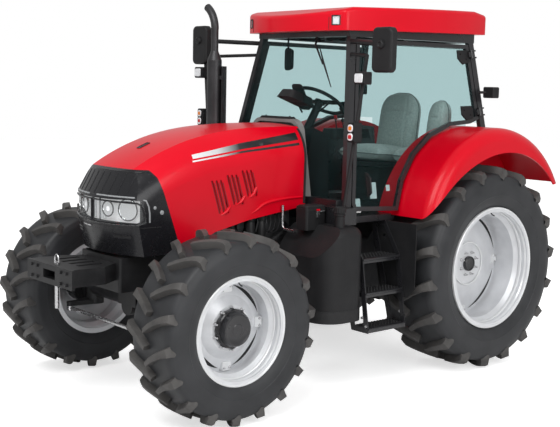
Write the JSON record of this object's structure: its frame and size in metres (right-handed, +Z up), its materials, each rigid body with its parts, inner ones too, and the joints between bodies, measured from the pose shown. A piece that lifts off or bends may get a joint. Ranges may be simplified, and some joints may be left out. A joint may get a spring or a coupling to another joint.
{
  "type": "four-wheel-drive farm tractor",
  "caption": "Four-wheel-drive farm tractor with glazed cab, steered front axle, opening hood and doors, and rear lifting linkage.",
  "frame": {"origin": "on the ground, under the middle of the machine's length and width", "axes": "+X forward, +Y to the machine's left, +Z up"},
  "size_m": [4.7228, 2.4498, 2.9947],
  "materials": {
    "red_paint": "gloss",
    "black_gloss": "gloss",
    "black_plastic": "grained",
    "silver_paint": "satin",
    "tyre_rubber": "matte",
    "black_casting": "painted satin",
    "grey_casting": "painted satin",
    "black_paint": "satin",
    "steel": "brushed",
    "stack_metal": "satin",
    "grey_paint": "satin",
    "cab_glass": "tinted clear",
    "lamp_glass": "clear",
    "seat_cloth": "woven"
  },
  "bodies": {
    "chassis": {"front_axle": "black_casting", "transmission": "grey_casting", "rear_axle_tubes": "grey_casting", "engine": "grey_casting", "front_support": "black_casting", "weight_carrier": "black_casting", "drawpin": "steel", "fender_left": "red_paint", "fender_right": "red_paint", "cab_tub": "black_paint", "cab_frame": "black_paint", "roof": "red_paint", "roof_lamps": "lamp_glass", "windscreen": "cab_glass", "rear_window": "cab_glass", "dash_console": "black_plastic", "steering_wheel": "black_plastic", "driver_seat": "seat_cloth", "passenger_seat": "seat_cloth", "steps_left": "black_paint", "steps_right": "black_paint", "splash_left": "black_plastic", "splash_right": "black_plastic", "fuel_tank": "black_plastic", "battery_box": "black_plastic", "toolbox": "black_plastic", "exhaust_stack": "stack_metal", "exhaust_guard": "stack_metal", "mirror_rail_left": "black_plastic", "mirror_rail_right": "black_plastic", "drawbar": "black_casting", "push_plate": "black_casting", "firewall_hoop": "grey_paint", "rear_lamps": "black_plastic"},
    "wheel_front_left": {"front_tyre_left": "tyre_rubber", "front_rim_left": "silver_paint", "front_hub_left": "black_casting"},
    "wheel_front_right": {"front_tyre_right": "tyre_rubber", "front_rim_right": "silver_paint", "front_hub_right": "black_casting"},
    "wheel_rear_left": {"rear_tyre_left": "tyre_rubber", "rear_rim_left": "silver_paint", "rear_hub_left": "silver_paint"},
    "wheel_rear_right": {"rear_tyre_right": "tyre_rubber", "rear_rim_right": "silver_paint", "rear_hub_right": "silver_paint"},
    "steer_knuckle_left": {"knuckle_left": "black_casting"},
    "steer_knuckle_right": {"knuckle_right": "black_casting"},
    "steer_tie_rod": {"tie_rod": "steel"},
    "door_left": {"door_frame_left": "black_paint", "door_glass_left": "cab_glass"},
    "door_right": {"door_frame_right": "black_paint", "door_glass_right": "cab_glass"},
    "hood": {"hood_panel": "red_paint", "nose_grille": "black_gloss", "headlamps": "lamp_glass"},
    "hitch_arms": {"lift_arms": "black_casting"},
    "hitch_links": {"lower_links": "black_casting"},
    "hitch_rods": {"lift_rods": "black_casting"}
  },
  "joints": [
    {"name": "steer_left", "type": "hinge", "parent": "chassis", "child": "steer_knuckle_left", "pos_m": [1.53138, 0.78, 0.667], "axis": [0, 0, 1], "range_deg": [-40, 40]},
    {"name": "steer_right", "type": "hinge", "parent": "chassis", "child": "steer_knuckle_right", "pos_m": [1.53138, -0.78, 0.667], "axis": [0, 0, 1], "range_deg": [-40, 40]},
    {"name": "tie_rod_swing", "type": "hinge", "parent": "steer_knuckle_left", "child": "steer_tie_rod", "pos_m": [1.76138, 0.78, 0.517], "axis": [0, 0, 1], "range_deg": [-40, 40]},
    {"name": "spin_front_left", "type": "hinge", "parent": "steer_knuckle_left", "child": "wheel_front_left", "pos_m": [1.53138, 0.945, 0.667], "axis": [0, 1, 0], "continuous": true},
    {"name": "spin_front_right", "type": "hinge", "parent": "steer_knuckle_right", "child": "wheel_front_right", "pos_m": [1.53138, -0.945, 0.667], "axis": [0, 1, 0], "continuous": true},
    {"name": "spin_rear_left", "type": "hinge", "parent": "chassis", "child": "wheel_rear_left", "pos_m": [-1.09862, 0.925, 0.85], "axis": [0, 1, 0], "continuous": true},
    {"name": "spin_rear_right", "type": "hinge", "parent": "chassis", "child": "wheel_rear_right", "pos_m": [-1.09862, -0.925, 0.85], "axis": [0, 1, 0], "continuous": true},
    {"name": "door_left_open", "type": "hinge", "parent": "chassis", "child": "door_left", "pos_m": [-1.34766, 0.78072, 2.13324], "axis": [0.0647, -0.1844, 0.9807], "range_deg": [0, 72]},
    {"name": "door_right_open", "type": "hinge", "parent": "chassis", "child": "door_right", "pos_m": [-1.34766, -0.78072, 2.13324], "axis": [-0.0647, -0.1844, -0.9807], "range_deg": [0, 72]},
    {"name": "hood_open", "type": "hinge", "parent": "chassis", "child": "hood", "pos_m": [0.37338, 0, 1.973], "axis": [0, -1, 0], "range_deg": [0, 55]},
    {"name": "hitch_lift", "type": "hinge", "parent": "chassis", "child": "hitch_arms", "pos_m": [-1.51862, 0, 1.13], "axis": [0, 1, 0], "range_deg": [-14, 36]},
    {"name": "link_swing", "type": "hinge", "parent": "chassis", "child": "hitch_links", "pos_m": [-1.37862, 0, 0.58], "axis": [0, 1, 0], "range_deg": [-14, 36]},
    {"name": "rod_swing", "type": "hinge", "parent": "hitch_arms", "child": "hitch_rods", "pos_m": [-1.93453, 0, 1.07155], "axis": [0, 1, 0], "range_deg": [-36, 14]}
  ],
  "couplings": [
    {"joint": "steer_right", "follows": "steer_left", "ratio": 1},
    {"joint": "tie_rod_swing", "follows": "steer_left", "ratio": -1},
    {"joint": "link_swing", "follows": "hitch_lift", "ratio": 1},
    {"joint": "rod_swing", "follows": "hitch_lift", "ratio": -1}
  ]
}
